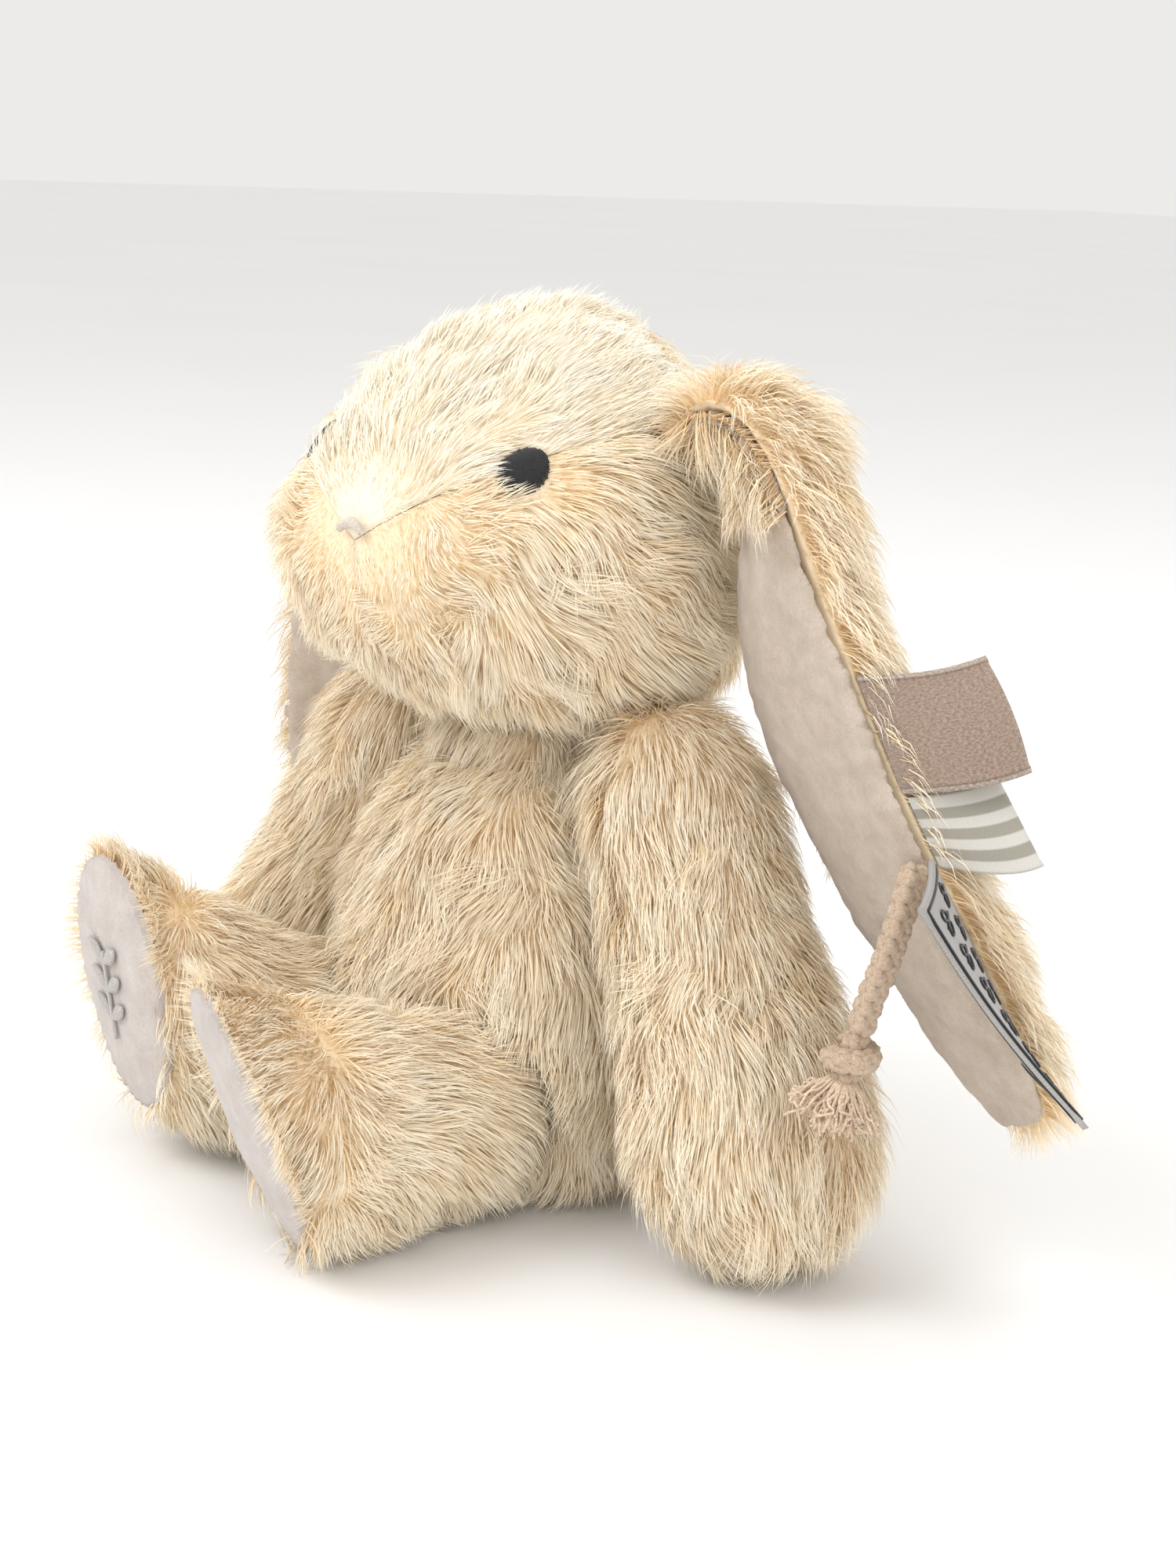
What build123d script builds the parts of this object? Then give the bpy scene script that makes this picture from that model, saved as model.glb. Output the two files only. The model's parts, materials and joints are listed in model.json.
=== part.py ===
"""Seated plush bunny with lop ears: sewn fur panels over stuffing, with comforter trims on one ear.

Millimetres. +Z is up, the bunny looks along -Y and its left side is +X. The origin is the middle of
the flat seat panel that it sits on.
"""
import os
from math import cos, pi, radians, sin, tan

from build123d import *

os.makedirs("parts", exist_ok=True)

# Fabric and filling
pile_backing = 1.2          # thickness of a fur panel's knitted backing
stuffing_gap = 0.3          # air between a panel and the filling inside it
layer_gap = 0.7             # from an ear's seam plane to each of its layers
fit_gap = 0.4               # clearance between two parts that move

# Torso: height, half width, half depth and centre y of each section
torso_sections = [
    (0.0, 24.0, 22.0, 3.0),
    (5.0, 35.0, 31.0, 3.0),
    (14.0, 42.0, 38.0, 2.0),
    (34.0, 46.0, 42.0, 1.0),
    (62.0, 40.0, 38.0, 1.0),
    (86.0, 31.0, 30.0, 2.0),
    (99.0, 21.0, 21.0, 3.0),
]
neck_pivot = Vector(0, 3, 99)
neck_radius = 21.0
socket_radius = neck_radius + 2.4
neck_thread = 0.9           # radius of the doubled thread that joins head and torso

# Head: a turned form whose axis leans back
head_centre = Vector(0, -1, 154.5)
head_lean = 20.0
head_turn = 13.0            # the bunny looks a little to its left
head_profile = [(26, -42), (44, -32), (51, -16), (47, 6), (36.5, 24), (23, 37.5), (11, 44.5)]
head_bottom = -45.0
head_top = 46.5
gusset_slope = 0.62         # rise of the eye seam for each millimetre outward
gusset_drop = 3.0           # the eye seams meet this far below the head's centre
back_seam_y = 20.0
eye_bearing = 41.0          # degrees round from the nose
eye_height = 14.0           # above the head's centre
eye_size = (5.4, 4.3)
nose_height = 0.0
nose_size = (4.0, 2.4)
stitch_height = 0.9

# Limbs: distance along the limb, half width and half depth of each section
arm_profile = [
    (0.0, 5.0, 6.0),
    (7.5, 13.0, 14.0),
    (21.0, 16.5, 18.0),
    (45.0, 17.0, 19.0),
    (69.0, 18.5, 22.0),
    (91.0, 20.0, 25.0),
    (106.0, 17.5, 21.0),
    (116.5, 8.0, 10.0),
]
arm_top = (44, 5, 115)
arm_lean_left = Vector(50, 4, -110)
arm_lean_right = Vector(-36, -27, -110)
shoulder_y = 6.0
shoulder_z = 93.0
shoulder_radius = 11.0
shoulder_plane = 33.0       # x where torso and arm meet

hip_x = 25.0
hip_y = -35.0
hip_z = 25.0
hip_half_width = 18.0
hip_radius = 21.0
hip_clearance = 2.0
leg_profile = [
    (-18.5, 0.0, 6.0, 7.5, 0.0),
    (-14.0, 0.0, 13.0, 14.5, 0.0),
    (-7.0, 0.0, 17.0, 19.2, 0.0),
    (0.0, 0.0, 18.0, 20.5, 0.0),
    (19.0, 1.0, 19.0, 22.0, 6.0),
    (38.0, 5.0, 21.0, 27.0, 14.0),
    (51.0, 8.0, 22.0, 31.0, 21.0),
]                           # distance, rise, half width, half height, forward tilt
leg_splay_left = 6.0
leg_splay_right = 19.0
leg_lift_right = 11.0       # the right foot rests a little above the floor
toe_in = 18.0               # degrees that the sole turns in from the leg
sole_thickness = 1.6

# Ears: half width, lining bulge and fur bulge of each section, then both centre lines with the
# degrees that the front edge turns outward
ear_profile = [
    (14.0, 4.0, 7.0),
    (17.0, 3.6, 10.5),
    (20.0, 3.2, 13.5),
    (22.0, 3.0, 15.0),
    (24.0, 2.8, 15.0),
    (25.5, 2.8, 14.5),
    (26.5, 2.8, 13.0),
    (25.5, 2.6, 11.0),
    (20.0, 2.2, 8.0),
    (10.0, 1.6, 4.0),
]
ear_line_left = [
    (46, 21, 171, 24),
    (57, 17, 176, 34),
    (68, 12, 167, 52),
    (75, 9.5, 151, 70),
    (83, 11, 132, 78),
    (91, 16, 112, 80),
    (100, 23, 92, 80),
    (110, 31, 72, 80),
    (120, 38, 55, 80),
    (128, 43, 42, 80),
]
ear_line_right = [
    (-46, 5, 169, 0),
    (-55, 9, 172, 8),
    (-64, 12, 163, 22),
    (-72, 13, 148, 38),
    (-79, 13, 131, 46),
    (-84, 12, 112, 52),
    (-86, 12.5, 92, 52),
    (-86.5, 14, 72, 52),
    (-86, 15, 55, 52),
    (-85, 16, 43, 52),
]

# Trims sewn into the outer seam of the left ear
ribbon_start = 2.0          # from the seam to the first free thread of a trim
velour_size = (25.0, 26.0)
velour_ply = 1.0
striped_size = (15.0, 18.0)
striped_ply = 0.7
label_size = (48.0, 27.0)
label_ply = 0.8
cord_diameter = 5.6
cord_route = [
    (122.6, 12.5, 98.5),
    (124.6, 8.4, 90.5),
    (123.9, 5.5, 80.5),
    (122.4, 3.0, 72.0),
    (121.6, 1.6, 65.5),
]
knot_radius = 5.6
fray_length = 14.0
fray_radius = 7.5

tail_centre = Vector(0, 54.0, 25.0)
tail_radius = 12.0


def lofted_form(planes, radii, inset):
    """Closed form through elliptical sections; inset shrinks the sections and pulls both ends in."""
    with BuildPart() as form:
        for index, (plane, (across, deep)) in enumerate(zip(planes, radii)):
            pull = inset if index == 0 else -inset if index == len(planes) - 1 else 0.0
            with BuildSketch(plane.offset(pull)):
                Ellipse(across - inset, deep - inset)
        loft()
    return form.part


def torso_form(inset):
    """Pear-shaped torso with the ball that carries the head and a boss for each arm."""
    planes = [Plane((0, y, z), x_dir=(1, 0, 0), z_dir=(0, 0, 1)) for z, _, _, y in torso_sections]
    radii = [(across, deep) for _, across, deep, _ in torso_sections]
    hip_axis = Plane((0, hip_y, hip_z), x_dir=(0, 1, 0), z_dir=(1, 0, 0))
    boss = Plane((0, shoulder_y, shoulder_z), x_dir=(0, 1, 0), z_dir=(1, 0, 0))
    with BuildPart() as form:
        for index, (plane, (across, deep)) in enumerate(zip(planes, radii)):
            lift = inset if index == 0 else 0.0
            with BuildSketch(plane.offset(lift)):
                Ellipse(across - inset, deep - inset)
        loft()
        with Locations(neck_pivot):
            Sphere(neck_radius - inset)
        with BuildSketch(boss):
            Circle(shoulder_radius - inset)
        extrude(amount=shoulder_plane - fit_gap - inset, both=True)
        for side in (1, -1):
            inner_wall = hip_x - hip_half_width - fit_gap - inset
            with BuildSketch(hip_axis.offset(side * inner_wall)):
                Circle(hip_radius + hip_clearance + inset)
            extrude(amount=side * 60, mode=Mode.SUBTRACT)
    return form.part


def head_direction(bearing):
    """Level direction from the head's centre, in degrees round from the nose towards the left."""
    angle = radians(head_turn + bearing)
    return Vector(sin(angle), -cos(angle), 0)


def head_form(inset):
    """Turned head form, widest at the cheeks, hollowed below for the neck ball."""
    lean = radians(head_lean)
    facing = head_direction(0)
    axis = Vector(-facing.X * sin(lean), -facing.Y * sin(lean), cos(lean))
    across = Vector(-facing.Y, facing.X, 0)
    profile_plane = Plane(head_centre, x_dir=across, z_dir=across.cross(axis))
    points = [(radius - inset, height) for radius, height in head_profile]
    with BuildPart() as form:
        with BuildSketch(profile_plane):
            with BuildLine():
                ends = (0, head_bottom + inset), (0, head_top - inset)
                Spline(ends[0], *points, ends[1], tangents=((1, 0), (-1, 0)))
                Line(ends[1], ends[0])
            make_face()
        revolve(axis=Axis(head_centre, axis))
        with Locations(Location(neck_pivot, (0, 0, 30))):
            Sphere(socket_radius + inset, mode=Mode.SUBTRACT)
    return form.part


def arm_form(side, lean, inset):
    """Arm that widens to a paw, with a boss facing the torso."""
    start = Vector(side * arm_top[0], arm_top[1], arm_top[2])
    along = lean.normalized()
    planes = [Plane(start + along * d, x_dir=(1, 0, 0), z_dir=along) for d, _, _ in arm_profile]
    radii = [(across, deep) for _, across, deep in arm_profile]
    boss = Plane((0, shoulder_y, shoulder_z), x_dir=(0, 1, 0), z_dir=(1, 0, 0))
    with BuildPart() as form:
        add(lofted_form(planes, radii, inset))
        with BuildSketch(boss.offset(side * (shoulder_plane + inset))):
            Circle(shoulder_radius - inset)
        extrude(amount=side * 14)
        split(bisect_by=boss.offset(side * (shoulder_plane + inset)),
              keep=Keep.TOP if side > 0 else Keep.BOTTOM)
    return form.part


def leg_planes(side, splay, lift):
    """Section planes of a leg, from the hip to the sole."""
    turn = radians(splay)
    rise = radians(lift)
    planes = []
    for distance, height, _, _, tilt in leg_profile:
        yaw = turn - radians(toe_in) * max(distance, 0) / leg_profile[-1][0]
        ahead = distance * cos(rise) - height * sin(rise)
        up = distance * sin(rise) + height * cos(rise)
        dip = radians(tilt) - rise
        centre = Vector(side * (hip_x + ahead * sin(turn)), hip_y - ahead * cos(turn), hip_z + up)
        facing = Vector(side * sin(yaw) * cos(dip), -cos(yaw) * cos(dip), -sin(dip))
        planes.append(Plane(centre, x_dir=(cos(yaw), side * sin(yaw), 0), z_dir=facing))
    return planes


def leg_form(side, splay, lift, inset):
    """Leg with a rounded hip and an open foot end, closed by the sole."""
    planes = leg_planes(side, splay, lift)
    with BuildPart() as form:
        for index, (plane, (_, _, across, high, _)) in enumerate(zip(planes, leg_profile)):
            with BuildSketch(plane.offset(inset if index == 0 else 0)):
                Ellipse(across - inset, high - inset)
        loft()
    return form.part


def ear_planes(line):
    """Section planes along an ear: x runs to its front edge and y across its thickness."""
    side = 1 if line[0][0] > 0 else -1
    centres = [Vector(x, y, z) for x, y, z, _ in line]
    planes = []
    for index, (centre, (_, _, _, turn)) in enumerate(zip(centres, line)):
        before = centres[max(index - 1, 0)]
        after = centres[min(index + 1, len(centres) - 1)]
        along = (after - before).normalized()
        front = Vector(side * sin(radians(turn)), -cos(radians(turn)), 0)
        across = (front - along * front.dot(along)).normalized()
        planes.append(Plane(centre, x_dir=across, z_dir=along))
    return planes


def ear_layer(line, lining):
    """One layer of an ear, bulging away from the seam plane; the lining faces the head."""
    side = 1 if line[0][0] > 0 else -1
    outward = side if lining else -side
    with BuildPart() as layer:
        for plane, (half, lining_bulge, fur_bulge) in zip(ear_planes(line), ear_profile):
            bulge = lining_bulge if lining else fur_bulge
            with BuildSketch(plane):
                with BuildLine():
                    gap = outward * layer_gap
                    ThreePointArc((-half, gap), (0, outward * bulge), (half, gap))
                    Line((half, gap), (-half, gap))
                make_face()
        loft()
    return layer.part


def finish(piece, name):
    """Label a piece and write its STEP file."""
    piece.label = name
    export_step(piece, f"parts/{name}.step")


# ---------------------------------------------------------------- torso
torso_outer = torso_form(0)
torso_hollow = torso_form(pile_backing)
base_plane = Plane.XY.offset(pile_backing)

for name, side_keep, depth_keep in (
    ("torso_front_left", Keep.TOP, Keep.BOTTOM),
    ("torso_front_right", Keep.BOTTOM, Keep.BOTTOM),
    ("torso_back_left", Keep.TOP, Keep.TOP),
    ("torso_back_right", Keep.BOTTOM, Keep.TOP),
):
    with BuildPart() as torso_panel:
        add(torso_outer)
        add(torso_hollow, mode=Mode.SUBTRACT)
        split(bisect_by=base_plane, keep=Keep.TOP)
        split(bisect_by=Plane.YZ, keep=side_keep)
        split(bisect_by=Plane((0, 2, 0), x_dir=(-1, 0, 0), z_dir=(0, 1, 0)), keep=depth_keep)
    finish(torso_panel.part, name)

with BuildPart() as torso_base:
    add(torso_outer)
    split(bisect_by=base_plane, keep=Keep.BOTTOM)
finish(torso_base.part, "torso_base")

with BuildPart() as torso_stuffing:
    add(torso_form(pile_backing + stuffing_gap))
finish(torso_stuffing.part, "torso_stuffing")

with BuildPart() as tail_cover:
    with Locations(tail_centre):
        Sphere(tail_radius)
        Sphere(tail_radius - pile_backing, mode=Mode.SUBTRACT)
    add(torso_outer, mode=Mode.SUBTRACT)
finish(tail_cover.part, "tail_cover")

with BuildPart() as tail_stuffing:
    with Locations(tail_centre):
        Sphere(tail_radius - pile_backing - stuffing_gap)
    add(torso_outer, mode=Mode.SUBTRACT)
finish(tail_stuffing.part, "tail_stuffing")

with BuildPart() as neck_stitches:
    ring_reach = (neck_radius + socket_radius) / 2
    ring_angle = radians(58)
    ring_plane = Plane(neck_pivot + Vector(0, 0, ring_reach * cos(ring_angle)))
    with Locations(ring_plane):
        Torus(ring_reach * sin(ring_angle), neck_thread)
finish(neck_stitches.part, "neck_stitches")

# ---------------------------------------------------------------- head
head_outer = head_form(0)
head_hollow = head_form(pile_backing)
seam_foot = head_centre - Vector(0, 0, gusset_drop)
nose_way = head_direction(0)
left_way = head_direction(90)
left_seam = Plane(seam_foot, x_dir=nose_way, z_dir=Vector(0, 0, 1) - left_way * gusset_slope)
right_seam = Plane(seam_foot, x_dir=nose_way, z_dir=Vector(0, 0, 1) + left_way * gusset_slope)
middle_seam = Plane(head_centre, x_dir=nose_way, z_dir=left_way)
back_seam = Plane(head_centre - nose_way * back_seam_y, x_dir=left_way, z_dir=-nose_way)

with BuildPart() as head_shell:
    add(head_outer)
    add(head_hollow, mode=Mode.SUBTRACT)

with BuildPart() as forehead_gusset:
    add(head_shell.part)
    split(bisect_by=back_seam, keep=Keep.BOTTOM)
    split(bisect_by=left_seam, keep=Keep.TOP)
    split(bisect_by=right_seam, keep=Keep.TOP)
finish(forehead_gusset.part, "forehead_gusset")

for name, side_keep, seam in (
    ("cheek_left", Keep.TOP, left_seam),
    ("cheek_right", Keep.BOTTOM, right_seam),
):
    with BuildPart() as cheek:
        add(head_shell.part)
        split(bisect_by=back_seam, keep=Keep.BOTTOM)
        split(bisect_by=middle_seam, keep=side_keep)
        split(bisect_by=seam, keep=Keep.BOTTOM)
    finish(cheek.part, name)

for name, side_keep in (("head_back_left", Keep.TOP), ("head_back_right", Keep.BOTTOM)):
    with BuildPart() as head_back:
        add(head_shell.part)
        split(bisect_by=back_seam, keep=Keep.TOP)
        split(bisect_by=middle_seam, keep=side_keep)
    finish(head_back.part, name)

with BuildPart() as head_stuffing:
    add(head_form(pile_backing + stuffing_gap))
finish(head_stuffing.part, "head_stuffing")

# Embroidery: each patch stands on the panel and follows its curve
stitch_surface = head_form(-stitch_height)
patches = [
    ("eye_left", eye_bearing, eye_height, eye_size, 28),
    ("eye_right", -eye_bearing, eye_height, eye_size, -28),
    ("nose", 0, nose_height, nose_size, 0),
]
for name, bearing, height, size, tilt in patches:
    facing = head_direction(bearing)
    patch_plane = Plane(head_centre + Vector(0, 0, height), x_dir=(-facing.Y, facing.X, 0), z_dir=facing)
    with BuildPart() as patch:
        with BuildSketch(patch_plane.offset(20)):
            with Locations(Rotation(0, 0, tilt)):
                Ellipse(*size)
        extrude(amount=40)
        add(stitch_surface, mode=Mode.INTERSECT)
        add(head_outer, mode=Mode.SUBTRACT)
    finish(patch.part, name)

# ---------------------------------------------------------------- arms
for hand, side, lean in (("left", 1, arm_lean_left), ("right", -1, arm_lean_right)):
    arm_outer_form = arm_form(side, lean, 0)
    arm_hollow = arm_form(side, lean, pile_backing)
    seam_normal = lean.normalized().cross(Vector(0, 1, 0)) * -side
    arm_seam = Plane((side * arm_top[0], arm_top[1], arm_top[2]), x_dir=lean.normalized(),
                     z_dir=seam_normal.normalized())
    for name, keep in (("outer", Keep.TOP), ("inner", Keep.BOTTOM)):
        with BuildPart() as arm_panel:
            add(arm_outer_form)
            add(arm_hollow, mode=Mode.SUBTRACT)
            split(bisect_by=arm_seam, keep=keep)
        finish(arm_panel.part, f"arm_{hand}_{name}")
    with BuildPart() as arm_stuffing:
        add(arm_form(side, lean, pile_backing + stuffing_gap))
    finish(arm_stuffing.part, f"arm_{hand}_stuffing")

# ---------------------------------------------------------------- legs
for hand, side, splay, lift in (
    ("left", 1, leg_splay_left, 0.0),
    ("right", -1, leg_splay_right, leg_lift_right),
):
    leg_outer_form = leg_form(side, splay, lift, 0)
    leg_hollow = leg_form(side, splay, lift, pile_backing)
    sole_plane = leg_planes(side, splay, lift)[-1]
    turn = radians(splay)
    leg_seam = Plane((side * hip_x, hip_y, hip_z), x_dir=(side * sin(turn), -cos(turn), 0),
                     z_dir=(side * cos(turn), sin(turn), 0))
    for name, keep in (("outer", Keep.TOP), ("inner", Keep.BOTTOM)):
        with BuildPart() as leg_panel:
            add(leg_outer_form)
            add(leg_hollow, mode=Mode.SUBTRACT)
            split(bisect_by=leg_seam, keep=keep)
        finish(leg_panel.part, f"leg_{hand}_{name}")
    with BuildPart() as leg_sole:
        with BuildSketch(sole_plane.offset(0.05)):
            Ellipse(leg_profile[-1][2], leg_profile[-1][3])
        extrude(amount=sole_thickness)
    finish(leg_sole.part, f"leg_{hand}_sole")
    with BuildPart() as leg_stuffing:
        add(leg_form(side, splay, lift, pile_backing + stuffing_gap))
    finish(leg_stuffing.part, f"leg_{hand}_stuffing")

# Stitched sprig on the right sole
with BuildPart() as sole_motif:
    with BuildSketch(sole_plane.offset(sole_thickness + 0.1)):
        with Locations((0, -2)):
            Rectangle(1.2, 22)
        for height in (-8, -1, 6):
            for lean in (1, -1):
                with Locations(Location((lean * 3.6, height + 2.6, 0), (0, 0, -lean * 55))):
                    Ellipse(1.7, 3.8)
    extrude(amount=0.6)
finish(sole_motif.part, "sole_motif")

# ---------------------------------------------------------------- ears
for hand, line in (("left", ear_line_left), ("right", ear_line_right)):
    for name, lining in (("lining", True), ("fur", False)):
        finish(ear_layer(line, lining), f"ear_{hand}_{name}")


def seam_plane(station, slide, turn_out):
    """Plane at the left ear's outer seam: x along the seam, y out from the ear."""
    planes = ear_planes(ear_line_left)
    here, there = planes[station], planes[station + 1]
    half_here, half_there = ear_profile[station][0], ear_profile[station + 1][0]
    edge_here = here.origin + here.x_dir * half_here
    edge_there = there.origin + there.x_dir * half_there
    along = (edge_there - edge_here).normalized()
    origin = edge_here + (edge_there - edge_here) * slide
    out = Vector(cos(radians(turn_out)), sin(radians(turn_out)), 0)
    normal = along.cross(out).normalized()
    return Plane(origin, x_dir=along, z_dir=normal)


# ---------------------------------------------------------------- ribbons and label
for name, station, slide, turn_out, (width, reach), ply in (
    ("velour_loop", 4, 0.82, 52.0, velour_size, velour_ply),
    ("striped_loop", 5, 0.76, 52.0, striped_size, striped_ply),
):
    ribbon_plane = seam_plane(station, slide, turn_out)
    side_plane = Plane(ribbon_plane.origin - ribbon_plane.x_dir * (width / 2),
                       x_dir=ribbon_plane.y_dir, z_dir=ribbon_plane.x_dir)
    with BuildPart() as ribbon:
        with BuildSketch(side_plane):
            bend = ply * 1.9
            with Locations((ribbon_start + (reach - bend) / 2, 0)):
                Rectangle(reach - bend, 2 * bend)
            with Locations((ribbon_start + reach - bend, 0)):
                Circle(bend)
            with Locations((ribbon_start + (reach - bend) / 2, 0)):
                Rectangle(reach - bend, 2 * (bend - ply), mode=Mode.SUBTRACT)
            with Locations((ribbon_start + reach - bend, 0)):
                Circle(bend - ply, mode=Mode.SUBTRACT)
            with Locations((ribbon_start + ply / 2, 0)):
                Rectangle(ply, 2 * bend)
        extrude(amount=width)
    finish(ribbon.part, name)

label_plane = seam_plane(7, 0.0, -38.0)
with BuildPart() as woven_label:
    with BuildSketch(label_plane):
        with Locations((0, ribbon_start + label_size[1] / 2)):
            Rectangle(*label_size)
    extrude(amount=label_ply, both=False)
finish(woven_label.part, "woven_label")

# ---------------------------------------------------------------- cord
route = [Vector(*point) for point in cord_route]
runs = [(b - a).length for a, b in zip(route, route[1:])]
bend_radii = []
for index in range(1, len(route) - 1):
    arriving = (route[index] - route[index - 1]).normalized()
    leaving = (route[index + 1] - route[index]).normalized()
    half_turn = radians(arriving.get_angle(leaving)) / 2
    bend_radii.append(0.45 * min(runs[index - 1], runs[index]) / tan(half_turn))
print("cord runs", [round(run, 1) for run in runs])
print("cord radii", [round(radius, 1) for radius in bend_radii])

with BuildPart() as cord:
    with BuildLine() as cord_line:
        FilletPolyline(*route, radius=bend_radii)
    with BuildSketch(Plane(route[0], z_dir=route[1] - route[0])):
        Circle(cord_diameter / 2)
    sweep()
cord_length = cord_line.wire().length
section_volume = pi * cord_diameter ** 2 / 4 * cord_length
print("cord length", round(cord_length, 2), "volume ratio", round(cord.part.volume / section_volume, 4))
finish(cord.part, "cord")

knot_axis = (route[-1] - route[-2]).normalized()
knot_centre = route[-1] + knot_axis * (knot_radius * 0.92 + 0.2)
with BuildPart() as cord_knot:
    with Locations(Plane(knot_centre, z_dir=knot_axis)):
        Sphere(knot_radius)
    split(bisect_by=Plane(route[-1] + knot_axis * 0.1, z_dir=knot_axis), keep=Keep.TOP)
    split(bisect_by=Plane(knot_centre + knot_axis * knot_radius * 0.9, z_dir=knot_axis), keep=Keep.BOTTOM)
finish(cord_knot.part, "cord_knot")

fray_start = knot_centre + knot_axis * (knot_radius * 0.9 + 0.1)
with BuildPart() as cord_fray:
    for distance, radius in ((0, 2.6), (4, 5.2), (10, fray_radius), (fray_length, fray_radius * 0.75)):
        with BuildSketch(Plane(fray_start + knot_axis * distance, z_dir=knot_axis)):
            Circle(radius)
    loft()
finish(cord_fray.part, "cord_fray")
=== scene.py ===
"""Looks of the seated plush bunny: pile, velour, filling, embroidery and the trims on its left ear.

Metres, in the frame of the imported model: +Z up, the bunny looks along -Y, its left side is +X.
"""
import json
from math import cos, pi, radians, sin

import bpy
import numpy as np
from mathutils import Matrix, Vector


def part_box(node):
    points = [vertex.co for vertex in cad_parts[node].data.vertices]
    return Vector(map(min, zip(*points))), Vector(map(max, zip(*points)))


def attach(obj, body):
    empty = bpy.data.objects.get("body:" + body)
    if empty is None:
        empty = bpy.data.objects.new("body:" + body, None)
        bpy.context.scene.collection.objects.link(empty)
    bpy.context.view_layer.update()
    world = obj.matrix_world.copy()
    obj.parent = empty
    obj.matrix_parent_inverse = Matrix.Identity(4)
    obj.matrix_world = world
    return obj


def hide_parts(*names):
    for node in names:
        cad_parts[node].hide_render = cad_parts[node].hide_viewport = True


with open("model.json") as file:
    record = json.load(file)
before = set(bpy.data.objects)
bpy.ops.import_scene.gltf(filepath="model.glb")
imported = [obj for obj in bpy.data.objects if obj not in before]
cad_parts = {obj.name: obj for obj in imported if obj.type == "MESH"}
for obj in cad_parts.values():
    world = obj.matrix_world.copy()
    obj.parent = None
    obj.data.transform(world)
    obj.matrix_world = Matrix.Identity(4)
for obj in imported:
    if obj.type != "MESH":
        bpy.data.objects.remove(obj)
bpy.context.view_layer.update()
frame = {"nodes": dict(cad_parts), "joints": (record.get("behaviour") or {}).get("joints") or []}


def new_object(name, data):
    """Object with this data, linked to the scene."""
    made = bpy.data.objects.new(name, data)
    bpy.context.scene.collection.objects.link(made)
    return made


# ---------------------------------------------------------------- camera
CAMERA_BEARING = radians(55)      # round from the bunny's front towards its left
CAMERA_PITCH = radians(13)
CAMERA_ROLL = radians(2.5)
CAMERA_DISTANCE = 0.65
CAMERA_TARGET = Vector((0.0081, 0.0125, 0.0910))
CAMERA_LENS = 64.35


def add_camera():
    """Camera on the bunny's left front, a little above it and slightly rolled."""
    level = Vector((sin(CAMERA_BEARING), -cos(CAMERA_BEARING), 0))
    back = level * cos(CAMERA_PITCH) + Vector((0, 0, sin(CAMERA_PITCH)))
    right = Vector((cos(CAMERA_BEARING), sin(CAMERA_BEARING), 0))
    up = back.cross(right)
    rolled_right = right * cos(CAMERA_ROLL) + up * sin(CAMERA_ROLL)
    rolled_up = up * cos(CAMERA_ROLL) - right * sin(CAMERA_ROLL)
    data = bpy.data.cameras.new("camera")
    data.lens = CAMERA_LENS
    camera = new_object("camera", data)
    turn = Matrix((rolled_right, rolled_up, back)).transposed().to_4x4()
    camera.matrix_world = Matrix.Translation(CAMERA_TARGET + back * CAMERA_DISTANCE) @ turn
    bpy.context.scene.camera = camera


add_camera()

# ---------------------------------------------------------------- materials


def new_material(name, roughness, sheen=0.0, sheen_roughness=0.5, specular=0.3):
    """A Principled material and its node tree, with the values that are the same all over."""
    material = bpy.data.materials.new(name)
    material.use_nodes = True
    shader = material.node_tree.nodes["Principled BSDF"]
    shader.inputs["Roughness"].default_value = roughness
    shader.inputs["Sheen Weight"].default_value = sheen
    shader.inputs["Sheen Roughness"].default_value = sheen_roughness
    shader.inputs["Specular IOR Level"].default_value = specular
    return material, material.node_tree, shader


def node(tree, kind, **settings):
    """Adds a node and sets its properties, or its inputs where the name is an input's."""
    made = tree.nodes.new(kind)
    for key, value in settings.items():
        if hasattr(made, key):
            setattr(made, key, value)
        else:
            made.inputs[key.replace("_", " ")].default_value = value
    return made


def ramp(tree, factor, stops):
    """Colour ramp of (position, colour) stops."""
    made = tree.nodes.new("ShaderNodeValToRGB")
    elements = made.color_ramp.elements
    while len(elements) < len(stops):
        elements.new(0.5)
    for element, (position, colour) in zip(elements, stops):
        element.position = position
        element.color = (*colour, 1)
    tree.links.new(factor, made.inputs["Fac"])
    return made.outputs["Color"]


def mix(tree, factor, first, second, blend="MIX"):
    """Mixes two colours; either may be a socket or a colour."""
    made = tree.nodes.new("ShaderNodeMix")
    made.data_type = "RGBA"
    made.blend_type = blend
    for value, index in ((factor, 0), (first, 6), (second, 7)):     # a colour mix's own inputs
        socket = made.inputs[index]
        if isinstance(value, bpy.types.NodeSocket):
            tree.links.new(value, socket)
        elif isinstance(value, tuple):
            socket.default_value = (*value, 1)
        else:
            socket.default_value = value
    return made.outputs[2]


def bump(tree, shader, height, strength, distance):
    """Bump from a height socket into the shader's normal."""
    made = node(tree, "ShaderNodeBump", Strength=strength, Distance=distance)
    tree.links.new(height, made.inputs["Height"])
    tree.links.new(made.outputs["Normal"], shader.inputs["Normal"])


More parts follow.
